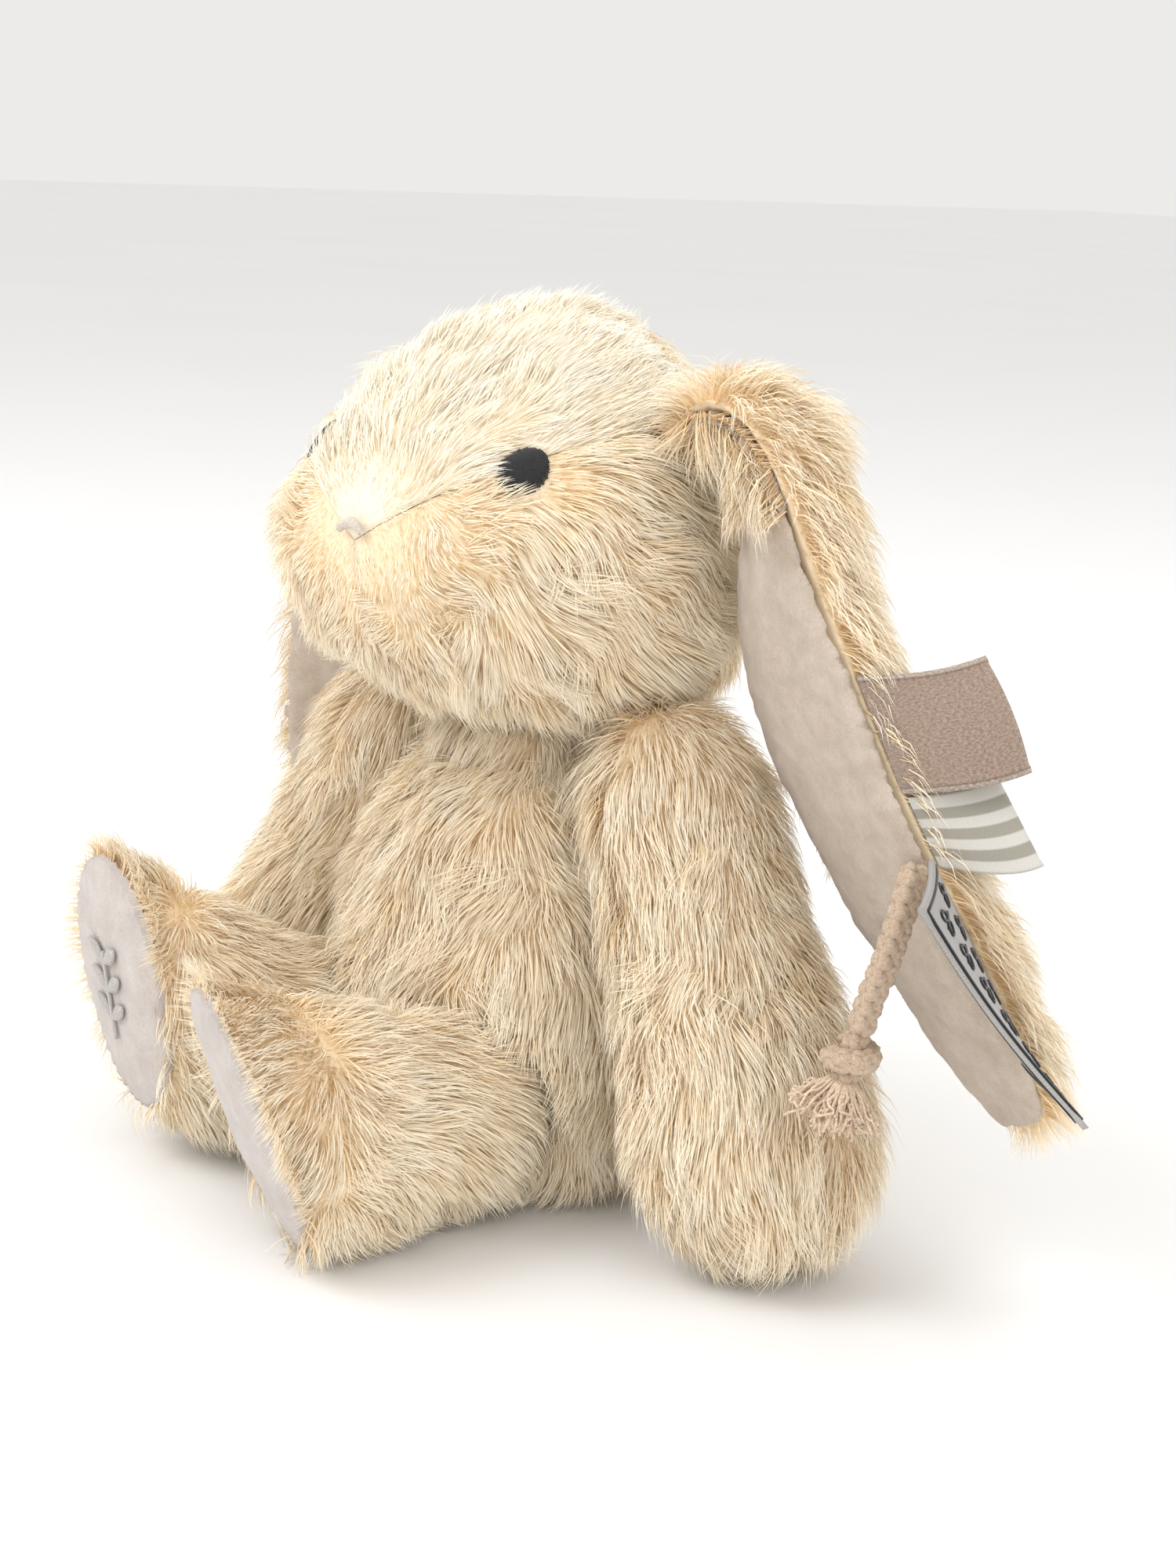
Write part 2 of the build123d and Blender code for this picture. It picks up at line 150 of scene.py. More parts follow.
def pile_material(name, root, middle, tip, deep_shade_root):
    """Long pile. The strand's own UV gives its tone across and the way from root to tip along; the
    darker, yellower root end is painted shade deep in the pile.
    """
    material, tree, shader = new_material(name, 0.55, sheen=0.35, sheen_roughness=0.4, specular=0.25)
    uv = node(tree, "ShaderNodeUVMap", uv_map="OFBake")
    split = tree.nodes.new("ShaderNodeSeparateXYZ")
    tree.links.new(uv.outputs["UV"], split.inputs[0])
    # painted shade: both ramps run from darker, yellower roots deep in the pile to light tips where the
    # light reaches
    light = ramp(tree, split.outputs["Y"], [(0.0, root), (0.45, middle), (1.0, tip)])
    dark = ramp(tree, split.outputs["Y"], [(0.0, deep_shade_root), (0.55, root), (1.0, middle)])
    tone = ramp(tree, split.outputs["X"], [(0.0, (0, 0, 0)), (1.0, (1, 1, 1))])
    tree.links.new(mix(tree, tone, dark, light), shader.inputs["Base Color"])
    return material


def velour_material(name, low, high, scale=2600.0):
    """Short matt velour: fine pile bump, and faint mottling that is partly tone and partly painted
    sheen and shade where the pile is brushed the other way.
    """
    material, tree, shader = new_material(name, 0.85, sheen=0.5, sheen_roughness=0.35, specular=0.15)
    where = tree.nodes.new("ShaderNodeTexCoord").outputs["Object"]
    patches = node(tree, "ShaderNodeTexNoise", Scale=130.0, Detail=5.0, Roughness=0.7)
    fibres = node(tree, "ShaderNodeTexNoise", Scale=scale, Detail=3.0, Roughness=0.7)
    for texture in (patches, fibres):
        tree.links.new(where, texture.inputs["Vector"])
    mottling_and_sheen = ramp(tree, patches.outputs["Fac"], [(0.32, low), (0.68, high)])
    speck = ramp(tree, fibres.outputs["Fac"], [(0.30, (0.80, 0.80, 0.80)), (0.62, (1, 1, 1))])
    tree.links.new(mix(tree, 1.0, mottling_and_sheen, speck, "MULTIPLY"), shader.inputs["Base Color"])
    bump(tree, shader, fibres.outputs["Fac"], 0.55, 0.0006)
    return material


def thread_material(name, low, high, roughness=0.45, scale=3000.0):
    """Spun thread: fine streaks of fibre and a soft gloss."""
    material, tree, shader = new_material(name, roughness, sheen=0.2, specular=0.35)
    where = tree.nodes.new("ShaderNodeTexCoord").outputs["Object"]
    fibres = node(tree, "ShaderNodeTexNoise", Scale=scale, Detail=2.0)
    tree.links.new(where, fibres.inputs["Vector"])
    colour = ramp(tree, fibres.outputs["Fac"], [(0.35, low), (0.65, high)])
    tree.links.new(colour, shader.inputs["Base Color"])
    bump(tree, shader, fibres.outputs["Fac"], 0.3, 0.0002)
    return material


def woven_material(name, uv_stops, rib_count, across_axis, roughness, rib_strength, grain_scale=160.0,
                   grain_low=0.78):
    """Ribbon or label cloth. UV runs 0 to 1 across and along it; stripes and ribs follow the UV."""
    material, tree, shader = new_material(name, roughness, sheen=0.3, specular=0.3)
    uv = node(tree, "ShaderNodeUVMap", uv_map="OFBake")
    split = tree.nodes.new("ShaderNodeSeparateXYZ")
    tree.links.new(uv.outputs["UV"], split.inputs[0])
    stripes = ramp(tree, split.outputs["X"], uv_stops)
    ribs = node(tree, "ShaderNodeTexWave", Scale=rib_count, Distortion=0.6, Detail=2.0,
                Detail_Scale=3.0)
    ribs.bands_direction = across_axis
    tree.links.new(uv.outputs["UV"], ribs.inputs["Vector"])
    grain = node(tree, "ShaderNodeTexNoise", Scale=grain_scale, Detail=4.0)
    tree.links.new(uv.outputs["UV"], grain.inputs["Vector"])
    speck = ramp(tree, grain.outputs["Fac"], [(0.35, (grain_low,) * 3), (0.65, (1, 1, 1))])
    shade = ramp(tree, ribs.outputs["Fac"], [(0.0, (0.82, 0.82, 0.82)), (1.0, (1, 1, 1))])
    colour = mix(tree, 1.0, mix(tree, 1.0, stripes, speck, "MULTIPLY"), shade, "MULTIPLY")
    tree.links.new(colour, shader.inputs["Base Color"])
    bump(tree, shader, ribs.outputs["Fac"], rib_strength, 0.0003)
    return material


# the second and last colour of each pile are its roots: painted shade deep in the pile, darker and
# yellower than the tips
PILE = {
    "cream_fur": pile_material("cream_pile", (0.93, 0.73, 0.46), (0.98, 0.87, 0.68), (0.99, 0.94, 0.83),
                               (0.90, 0.63, 0.33)),
    "forehead_fur": pile_material("forehead_pile", (0.94, 0.82, 0.62), (0.97, 0.91, 0.78),
                                  (0.98, 0.95, 0.88), (0.90, 0.74, 0.49)),
}
EAR_VELOUR = velour_material("ear_velour", (0.54, 0.44, 0.35), (0.68, 0.58, 0.49))
SOLE_VELOUR = velour_material("sole_velour", (0.58, 0.51, 0.47), (0.71, 0.65, 0.61))
FILLING = velour_material("filling", (0.80, 0.80, 0.78), (0.93, 0.93, 0.91), 900.0)
BLACK_THREAD = thread_material("black_thread", (0.004, 0.004, 0.005), (0.02, 0.02, 0.022), 0.4)
PEARL_THREAD = thread_material("pearl_thread", (0.58, 0.50, 0.42), (0.76, 0.70, 0.63), 0.3)
GREY_THREAD = thread_material("grey_thread", (0.42, 0.39, 0.37), (0.60, 0.57, 0.54), 0.4)
SEAM_THREAD = thread_material("seam_thread", (0.62, 0.52, 0.36), (0.82, 0.74, 0.58))
CORD_COTTON = thread_material("cord_cotton", (0.46, 0.34, 0.24), (0.62, 0.48, 0.36), 0.8, 2200.0)
CUT_COTTON = thread_material("cut_cotton", (0.62, 0.45, 0.31), (0.84, 0.70, 0.55), 0.8, 2200.0)
ROSE = (0.52, 0.38, 0.30)
ROSE_EDGE = (0.66, 0.54, 0.45)
# darker band just inside each lighter selvedge of the rose ribbon
ROSE_INNER_BAND = (0.30, 0.21, 0.16)
ROSE_VELOUR = woven_material(
    "rose_velour",
    [(0.0, ROSE_EDGE), (0.03, ROSE_EDGE), (0.045, ROSE_INNER_BAND), (0.06, ROSE),
     (0.94, ROSE), (0.955, ROSE_INNER_BAND), (0.97, ROSE_EDGE), (1.0, ROSE_EDGE)],
    46.0, "Y", 0.9, 0.5, grain_scale=70.0, grain_low=0.55)
SATIN = (0.74, 0.71, 0.65)
STRIPE = (0.40, 0.37, 0.31)
STRIPED_SATIN = woven_material(
    "striped_satin",
    [(0.0, SATIN), (0.16, SATIN), (0.18, STRIPE), (0.30, STRIPE), (0.32, SATIN), (0.43, SATIN),
     (0.45, STRIPE), (0.57, STRIPE), (0.59, SATIN), (0.70, SATIN), (0.72, STRIPE), (0.84, STRIPE),
     (0.86, SATIN)],
    60.0, "Y", 0.4, 0.25)
LABEL_TWILL = woven_material("label_twill", [(0.0, (0.46, 0.44, 0.42)), (1.0, (0.54, 0.52, 0.50))],
                             70.0, "DIAGONAL", 0.75, 0.35)

# ---------------------------------------------------------------- mesh helpers
WELD_DISTANCE = 1e-6
HANDS = (("left", 1), ("right", -1))


def box_centre(name):
    """Middle of a CAD node's box."""
    return np.array([sum(c) / 2 for c in zip(*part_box(name))])


def towards(way, guide):
    """The way itself, or its opposite where it goes against the guide."""
    return -way if np.dot(way, guide) < 0 else way


def travelled(points):
    """Distance along a line at each of its points."""
    return np.concatenate([[0], np.cumsum(np.linalg.norm(np.diff(points, axis=0), axis=1))])


def vertex_vectors(mesh, field):
    """A field of the mesh's vertices, as an array (n, 3)."""
    values = np.empty(len(mesh.vertices) * 3)
    mesh.vertices.foreach_get(field, values)
    return values.reshape(-1, 3)


def final_mesh(source):
    """Mesh of an object after its modifiers; the object is removed."""
    graph = bpy.context.evaluated_depsgraph_get()
    mesh = bpy.data.meshes.new_from_object(source.evaluated_get(graph))
    bpy.data.objects.remove(source)
    return mesh


def waves(points, scale, seed, count=7):
    """Smooth noise from -1 to 1 at each point, as a sum of waves about scale metres long."""
    local = np.random.default_rng(seed)
    total = np.zeros(len(points))
    for _ in range(count):
        way = local.normal(size=3)
        way /= np.linalg.norm(way)
        length = scale * local.uniform(0.6, 1.6)
        total += np.sin(points @ way * (2 * pi / length) + local.uniform(0, 2 * pi))
    return total / count ** 0.5 / 1.3


def unit(vectors):
    """Rows scaled to length 1."""
    return vectors / np.maximum(np.linalg.norm(vectors, axis=-1, keepdims=True), 1e-9)


def node_triangles(name):
    """Corner points of a CAD node's triangles, as an array (n, 3, 3)."""
    mesh = frame["nodes"][name].data
    mesh.calc_loop_triangles()
    corners = np.empty(len(mesh.loop_triangles) * 3, dtype=np.int64)
    mesh.loop_triangles.foreach_get("vertices", corners)
    matrix = np.array(frame["nodes"][name].matrix_world)
    points = vertex_vectors(mesh, "co") @ matrix[:3, :3].T + matrix[:3, 3]
    return points[corners.reshape(-1, 3)]


def mesh_object(name, points, faces, material, uvs=None):
    """Object from points and faces; uvs is one (u, v) for each point."""
    mesh = bpy.data.meshes.new(name)
    mesh.from_pydata(points, [], faces)
    if uvs is not None:
        layer = mesh.uv_layers.new(name="OFBake")
        order = np.empty(len(mesh.loops), dtype=np.int64)
        mesh.loops.foreach_get("vertex_index", order)
        layer.data.foreach_set("uv", np.asarray(uvs, dtype=np.float32)[order].ravel())
    mesh.materials.append(material)
    mesh.polygons.foreach_set("use_smooth", np.ones(len(mesh.polygons), dtype=bool))
    mesh.update()
    return new_object(name, mesh)


def place(piece, body, slot, *nodes):
    """The piece rides on a body and stands for CAD nodes, which are hidden; the slot is not used."""
    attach(piece, body)
    if nodes:
        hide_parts(*nodes)
    return piece


def copy_simplified(name, node_name, ratio):
    """Points, normals and faces of a lighter copy of a CAD node."""
    copy = new_object(name, frame["nodes"][node_name].data.copy())
    weld = copy.modifiers.new("weld", "WELD")
    weld.merge_threshold = WELD_DISTANCE
    reduce = copy.modifiers.new("reduce", "DECIMATE")
    reduce.ratio = ratio
    mesh = final_mesh(copy)
    points, normals = vertex_vectors(mesh, "co"), vertex_vectors(mesh, "normal")
    faces = [tuple(polygon.vertices) for polygon in mesh.polygons]
    bpy.data.meshes.remove(mesh)
    return points, normals, faces


def tube(path, radius, sides=6):
    """Points and faces of a tube along a path; radius is one number or one for each point."""
    path = np.asarray(path, dtype=float)
    radii = np.broadcast_to(np.asarray(radius, dtype=float), (len(path),))
    along = unit(np.gradient(path, axis=0))
    side = np.cross(along[0], (0.31, 0.22, 0.92))
    side /= np.linalg.norm(side)
    points = []
    for centre, way, reach in zip(path, along, radii):
        side = side - way * np.dot(side, way)
        side /= np.linalg.norm(side)
        other = np.cross(way, side)
        for step in range(sides):
            angle = 2 * pi * step / sides
            points.append(centre + reach * (cos(angle) * side + sin(angle) * other))
    faces = []
    for ring in range(len(path) - 1):
        for step in range(sides):
            here, there = ring * sides + step, ring * sides + (step + 1) % sides
            faces.append((here, there, there + sides, here + sides))
    faces.append(tuple(reversed(range(sides))))
    faces.append(tuple(range((len(path) - 1) * sides, len(path) * sides)))
    return np.array(points), faces


def joined(parts):
    """Joins (points, faces) parts into one."""
    points, faces, start = [], [], 0
    for part_points, part_faces in parts:
        points.append(part_points)
        faces += [tuple(index + start for index in face) for face in part_faces]
        start += len(part_points)
    return np.concatenate(points), faces


def assembled(name, parts, material, body, slot, *nodes):
    """One piece made of (points, faces) parts, placed on its body."""
    points, faces = joined(parts)
    return place(mesh_object(name, points, faces, material), body, slot, *nodes)


def flat_frame(node_name):
    """Centre, long axis, short axis, normal, half length and half width of a flat oval CAD node."""
    points = node_triangles(node_name).reshape(-1, 3)
    _, _, axes = np.linalg.svd(points - points.mean(axis=0), full_matrices=False)
    spans = [(points @ axis).max() - (points @ axis).min() for axis in axes]
    centre = sum(axis * ((points @ axis).max() + (points @ axis).min()) / 2 for axis in axes)
    return centre, axes[0], axes[1], axes[2], spans[0] / 2, spans[1] / 2


# ---------------------------------------------------------------- pile
STRAND_WIDTH = 0.00026
STRAND_POINTS = 7             # three pairs from the root up, and the tip
MOST_STRANDS = 19000          # on one panel
SQUARE_MM = 1e6               # in a square metre
ROOT_DEPTH = 0.0006           # strands start this far under the panel's face
FLOOR_GAP = 0.0004            # no strand goes lower than this
SKIN_RATIO = 0.12             # share of the CAD panel's triangles kept in the backing
SKIN_INSET = 0.0002
# the backing takes the pile's colour near the root end: painted shade under the strands
SKIN_SHADE_UV = (0.55, 0.30)
EYE_BARE, EYE_EDGE, EYE_FADE = 0.0043, 0.0022, 0.009     # pile is short round the eyes
NOSE_BARE = 0.0035
NOSE_WAY = np.array((0.225, -0.974, 0.0))
HEAD_CENTRE = np.array((0.0, -0.001, 0.1545))
EYES = [box_centre(name) for name in ("eye_left", "eye_right")]
NOSE = box_centre("nose")


def scatter(triangles, outward, density, seed, least_facing):
    """Random points and normals on the triangles that face outward."""
    edge_a = triangles[:, 1] - triangles[:, 0]
    edge_b = triangles[:, 2] - triangles[:, 0]
    cross = np.cross(edge_a, edge_b)
    area = np.linalg.norm(cross, axis=1) / 2
    normals = unit(cross)
    facing = np.einsum("ij,ij->i", normals, unit(outward(triangles.mean(axis=1))))
    least = least_facing(triangles.mean(axis=1)) if callable(least_facing) else least_facing
    keep = (facing > least) & (area > 0)
    triangles, normals, area = triangles[keep], normals[keep], area[keep]
    local = np.random.default_rng(seed)
    count = min(int(area.sum() * SQUARE_MM * density), MOST_STRANDS)
    chosen = local.choice(len(area), size=count, p=area / area.sum())
    across, along = local.random(count), local.random(count)
    folded = across + along > 1
    across[folded], along[folded] = 1 - across[folded], 1 - along[folded]
    corner = triangles[chosen]
    points = corner[:, 0] + across[:, None] * (corner[:, 1] - corner[:, 0]) \
        + along[:, None] * (corner[:, 2] - corner[:, 0])
    return points, normals[chosen]


def clumped(points, tips, spacing, pull, seed):
    """Tips drawn towards the tip of the nearest lock, so that the pile falls into locks."""
    local = np.random.default_rng(seed)
    count = max(int(len(points) / spacing), 2)
    leaders = local.choice(len(points), size=count, replace=False)
    nearest = np.empty(len(points), dtype=np.int64)
    size = 2000               # points at a time, to keep the arrays small
    for start in range(0, len(points), size):
        block = points[start:start + size]
        gaps = ((block[:, None, :] - points[leaders][None, :, :]) ** 2).sum(axis=2)
        nearest[start:start + size] = gaps.argmin(axis=1)
    strength = local.uniform(0.35, 1.0, count)[nearest][:, None] * pull
    return tips + (tips[leaders][nearest] - tips) * strength, nearest


def pile(name, body, slot, outward, flow, length, density=2.1, lift=(46, 27, 10), ruffle=0.5,
         locks=40, pull=0.55, droop=0.18, seed=1, least_facing=0.15, extra=None, muzzle=0.016):
    """Sewn panel with its pile: a knitted backing and tapered strands combed along the flow."""
    local = np.random.default_rng(seed)
    triangles = node_triangles(name)
    roots, normals = scatter(triangles, outward, density, seed, least_facing)
    if extra is not None:
        more_roots, more_normals = scatter(extra[0], extra[1], density, seed + 1, -0.5)
        roots, normals = np.concatenate([roots, more_roots]), np.concatenate([normals, more_normals])
    count = len(roots)
    swirl = np.stack([waves(roots, 0.022, seed + k) for k in range(3)], axis=1)
    fine = np.stack([waves(roots, 0.007, seed + 20 + k) for k in range(3)], axis=1)
    way = unit(flow(roots)) + ruffle * swirl + 0.22 * fine + 0.20 * local.normal(size=(count, 3))
    way = unit(way - normals * np.einsum("ij,ij->i", way, normals)[:, None])
    reach = length * (1 + 0.16 * waves(roots, 0.018, seed + 7)) * local.uniform(0.55, 1.12, count)
    close = np.minimum.reduce([np.linalg.norm(roots - spot, axis=1) for spot in EYES])
    reach *= np.where(close < EYE_BARE, 0.04, np.clip((close - EYE_EDGE) / EYE_FADE, 0.26, 1.0))
    reach *= np.clip((np.linalg.norm(roots - NOSE, axis=1) - NOSE_BARE) / muzzle, 0.16, 1.0)
    raise_more = local.normal(0, 7, count) + 9 * waves(roots, 0.014, seed + 9)
    joints = [roots - normals * ROOT_DEPTH]
    for angle in lift:
        tilt = np.radians(np.clip(angle + raise_more, 2, 85))[:, None]
        step = unit(normals * np.sin(tilt) + way * np.cos(tilt) + (0, 0, -droop * len(joints) / 3))
        joints.append(joints[-1] + step * (reach / len(lift))[:, None])
    tips, lock = clumped(roots, joints[3] - roots, locks, pull, seed + 3)
    gathered = (roots + tips) - joints[3]
    for index, share in ((1, 0.12), (2, 0.5), (3, 1.0)):
        joints[index] = joints[index] + gathered * share
        joints[index][:, 2] = np.maximum(joints[index][:, 2], FLOOR_GAP)
    along = unit(joints[3] - joints[0])
    side = unit(np.cross(along, normals + 0.45 * local.normal(size=(count, 3))))
    width = STRAND_WIDTH * local.uniform(0.7, 1.3, count)[:, None]
    rings = []
    for joint, share in zip(joints[:3], (0.5, 0.48, 0.34)):
        rings += [joint - width * share * side, joint + width * share * side]
    points = np.stack([*rings, joints[3]], axis=1).reshape(-1, 3)
    base = np.arange(count)[:, None] * STRAND_POINTS
    quads = np.array([(0, 1, 3, 2), (2, 3, 5, 4)])
    faces = (base[:, :, None] + quads[None]).reshape(-1, 4).tolist() \
        + (base + np.array((4, 5, 6))).tolist()
    tone = 0.60 + 0.22 * waves(roots, 0.012, seed + 5) + local.normal(0, 0.13, count)
    tone = np.clip(tone + 0.10 * local.normal(size=lock.max() + 1)[lock], 0.02, 0.97)
    heights = np.array([0.02, 0.02, 0.36, 0.36, 0.7, 0.7, 0.98])
    sideways = np.array([0, 0.012] * 3 + [0.006])
    uvs = np.stack([(tone[:, None] + sideways[None]).ravel(), np.tile(heights, count)], axis=1)

    skin, skin_normals, skin_faces = copy_simplified(name + "_skin", name, SKIN_RATIO)
    skin = skin - skin_normals * SKIN_INSET
    skin_uvs = np.full((len(skin), 2), SKIN_SHADE_UV) + np.stack([skin[:, 0], skin[:, 2] * 0.2], axis=1)
    all_faces = faces + [tuple(index + len(points) for index in face) for face in skin_faces]
    piece = mesh_object("pile_" + name, np.concatenate([points, skin]), all_faces, PILE[slot],
                        np.concatenate([uvs, skin_uvs]))
    return place(piece, body, slot, name)


def from_point(centre):
    """Outward directions away from one point."""
    return lambda points: points - np.asarray(centre)


def from_line(start, end):
    """Outward directions away from the line between two points, short of its ends."""
    start, end = np.asarray(start, dtype=float), np.asarray(end, dtype=float)
    way = (end - start) / np.linalg.norm(end - start)

    def outward(points):
        share = np.clip((points - start) @ way, 0.012, np.linalg.norm(end - start) - 0.02)
        return points - start - share[:, None] * way
    return outward


def constant(direction):
    """The same direction everywhere."""
    return lambda points: np.tile(np.asarray(direction, dtype=float), (len(points), 1))


def head_flow(down, back, up=0.0):
    """Combed away from the nose, with a share downwards, backwards or upwards."""
    def flow(points):
        away = unit(points - NOSE)
        return away + np.array((0, 0, up - down)) - back * NOSE_WAY
    return flow


def torso_flow(points):
    """Down the belly, falling to the sides."""
    side = np.stack([points[:, 0], points[:, 1], np.zeros(len(points))], axis=1)
    return np.array((0, 0, -1.0)) + 0.35 * unit(side)


head_out = from_point(HEAD_CENTRE)
pile("forehead_gusset", "head", "forehead_fur", head_out, head_flow(0.0, 0.9, 0.35), 0.0095,
     lift=(34, 18, 8), ruffle=0.28, pull=0.45, droop=0.05, seed=21)
for index, name in enumerate(("cheek_left", "cheek_right")):
    pile(name, "head", "cream_fur", head_out, head_flow(0.75, 0.25), 0.0125, lift=(48, 30, 12),
         ruffle=0.85, locks=46, pull=0.68, seed=31 + index, muzzle=0.036)
for index, name in enumerate(("head_back_left", "head_back_right")):
    pile(name, "head", "cream_fur", head_out, constant((0, 0.3, -1)), 0.0125, seed=41 + index)

torso_out = from_line((0, 0.002, 0.02), (0, 0.002, 0.115))
for index, part in enumerate(("front_left", "front_right", "back_left", "back_right")):
    pile("torso_" + part, "torso", "cream_fur", torso_out, torso_flow, 0.0135, ruffle=0.6,
         seed=51 + index)
pile("tail_cover", "torso", "cream_fur", from_point(box_centre("tail_cover")), constant((0, 0.5, -1)),
     0.011, lift=(60, 45, 30), seed=61)

for index, (hand, side) in enumerate(HANDS):
    low, high = (np.array(c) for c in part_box(f"arm_{hand}_stuffing"))
    shoulder = np.array((side * 0.044, 0.005, high[2]))
    paw = np.array((side * 0.090, 0.009, low[2])) if side > 0 else np.array((-0.0775, -0.021, low[2]))
    for part in ("outer", "inner"):
        pile(f"arm_{hand}_{part}", f"arm_{hand}", "cream_fur", from_line(shoulder, paw),
             constant(paw - shoulder), 0.0135, ruffle=0.5, seed=71 + 4 * index + (part == "inner"))


def leg_flow(hip, sole_centre):
    """Back along the leg, but over the rim of the sole at the foot."""
    back = (hip - sole_centre) / np.linalg.norm(hip - sole_centre)

    def flow(points):
        rim = np.clip(1 - (points - sole_centre) @ back / 0.016, 0, 1)[:, None]
        return back * (1 - 2.2 * rim) + (0, 0, -0.5)
    return flow


for index, (hand, side) in enumerate(HANDS):
    sole_centre = flat_frame(f"leg_{hand}_sole")[0]
    hip = np.array((side * 0.025, -0.035, 0.025))
    for part in ("outer", "inner"):
        pile(f"leg_{hand}_{part}", f"leg_{hand}", "cream_fur",
             from_line(hip, sole_centre + (sole_centre - hip)), leg_flow(hip, sole_centre), 0.012,
             lift=(54, 32, 14), ruffle=0.6, seed=91 + 4 * index + (part == "inner"))


def ear_out(other_name):
    """Outward of one ear layer: away from the other layer's nearby middle."""
    theirs = node_triangles(other_name).mean(axis=1)[::3]

    def outward(points):
        result = np.empty_like(points)
        size = 500            # points at a time, to keep the arrays small
        for start in range(0, len(points), size):
            block = points[start:start + size]
            gaps = ((block[:, None, :] - theirs[None]) ** 2).sum(axis=2)
            weight = np.exp(-gaps / (2 * 0.012 ** 2))
            anchor = (weight[:, :, None] * theirs[None]).sum(axis=1)
            result[start:start + size] = block - anchor / (weight.sum(axis=1)[:, None] + 1e-12)
        return result
    return outward


def ear_middle(hand):
    """The ear's middle line: gives the nearest middle point for each point."""
    points = np.concatenate([node_triangles(f"ear_{hand}_{part}").reshape(-1, 3)
                             for part in ("fur", "lining")])
    levels = np.linspace(points[:, 2].min(), points[:, 2].max(), 24)
    middles = np.array([points[np.abs(points[:, 2] - level) < 0.007].mean(axis=0) for level in levels])
    return lambda at: np.stack([np.interp(at[:, 2], levels, middles[:, k]) for k in range(3)], axis=1)


ROOT_HEIGHT = 0.165          # above this the ear is furred on both faces

for index, (hand, side) in enumerate(HANDS):
    middle_of = ear_middle(hand)
    front = np.array((side * sin(radians(60)), -cos(radians(60)), 0.0))
    along = unit(middle_of(np.array([(0, 0, 0.05)])) - middle_of(np.array([(0, 0, 0.15)])))[0]
    away = ear_out(f"ear_{hand}_lining")

    def ear_flow(at, middle_of=middle_of, front=front, along=along):
        """Down the ear, and out over the front seam; the back seam stays clear."""
        outward = at - middle_of(at)
        outward[:, 2] = 0
        share = np.where(outward @ front > 0, 0.55, 0.1)[:, None]
        return along + (0, 0, -0.25) + outward / 0.024 * share

    def least(at, middle_of=middle_of, front=front):
        """Pile wraps round the front seam and stops short of the back one."""
        return np.where((at - middle_of(at)) @ front > 0, 0.02, 0.35)

    lining = node_triangles(f"ear_{hand}_lining")
    furred = lining[lining[:, :, 2].mean(axis=1) > ROOT_HEIGHT]
    pile(f"ear_{hand}_fur", f"ear_{hand}", "cream_fur", away, ear_flow, 0.0140, density=2.2,
         lift=(56, 40, 18), ruffle=0.35, seed=111 + index, least_facing=least,
         extra=(furred, ear_out(f"ear_{hand}_fur")))

# ---------------------------------------------------------------- velour of the ears and soles
PAD_DEPTH = 0.0018            # the sole's pad turns down into its seam


def velour_lining(hand):
    """Ear lining: an even, slightly puckered velour skin over the CAD layer."""
    name = f"ear_{hand}_lining"
    copy = new_object("velour_" + name, frame["nodes"][name].data.copy())
    copy.data.materials.clear()
    weld = copy.modifiers.new("weld", "WELD")
    weld.merge_threshold = WELD_DISTANCE
    swell = copy.modifiers.new("swell", "DISPLACE")
    swell.strength = 0.0011
    swell.mid_level = 0.0
    remesh = copy.modifiers.new("remesh", "REMESH")
    remesh.mode = "VOXEL"
    remesh.voxel_size = 0.0009
    relax = copy.modifiers.new("relax", "SMOOTH")
    relax.iterations = 6
    mesh = final_mesh(copy)
    points, normals = vertex_vectors(mesh, "co"), vertex_vectors(mesh, "normal")
    dent = 0.0005 * waves(points, 0.016, 5) + 0.00018 * waves(points, 0.005, 6)
    dent -= 0.0024 * np.clip((points[:, 2] - ROOT_HEIGHT) / 0.004, 0, 1)
    mesh.vertices.foreach_set("co", (points + normals * dent[:, None]).ravel())
    mesh.polygons.foreach_set("use_smooth", np.ones(len(mesh.polygons), dtype=bool))
    mesh.materials.append(EAR_VELOUR)
    place(new_object("velour_" + name, mesh), f"ear_{hand}", "ear_velour", name)


def velour_sole(hand):
    """Sole: a crowned oval pad that dips to its puckered seam."""
    centre, long_way, short_way, normal, half_long, half_short = flat_frame(f"leg_{hand}_sole")
    hip = np.array((0, -0.035, 0.025))
    normal = towards(normal, centre - hip)
    rings, steps, puckers = 26, 120, 46
    points, faces = [centre + normal * 0.0032], []
    for ring in range(1, rings + 1):
        share = ring / rings
        for step in range(steps):
            angle = 2 * pi * step / steps
            crown = 0.0028 * (1 - share ** 2.6) + 0.0004
            pucker = 0.00035 * share ** 8 * sin(angle * puckers)
            spread = 1.0 - 0.012 * share ** 8 * (1 + sin(angle * puckers + 1.2)) / 2
            flat = cos(angle) * long_way * half_long + sin(angle) * short_way * half_short
            points.append(centre + flat * share * spread + normal * (crown + pucker))
    for step in range(steps):
        faces.append((0, 1 + step, 1 + (step + 1) % steps))
    for ring in range(rings - 1):
        for step in range(steps):
            here, there = 1 + ring * steps + step, 1 + ring * steps + (step + 1) % steps
            faces.append((here, here + steps, there + steps, there))
    edge = 1 + (rings - 1) * steps
    under = len(points)
    for step in range(steps):
        points.append(points[edge + step] - normal * PAD_DEPTH)
    for step in range(steps):
        nxt = (step + 1) % steps
        faces.append((edge + step, under + step, under + nxt, edge + nxt))
    faces.append(tuple(under + step for step in range(steps)))
    points = np.array(points)
    points += normal * (0.00025 * waves(points, 0.018, 8))[:, None]
    piece = mesh_object(f"velour_leg_{hand}_sole", points, faces, SOLE_VELOUR)
    place(piece, f"leg_{hand}", "sole_velour", f"leg_{hand}_sole")


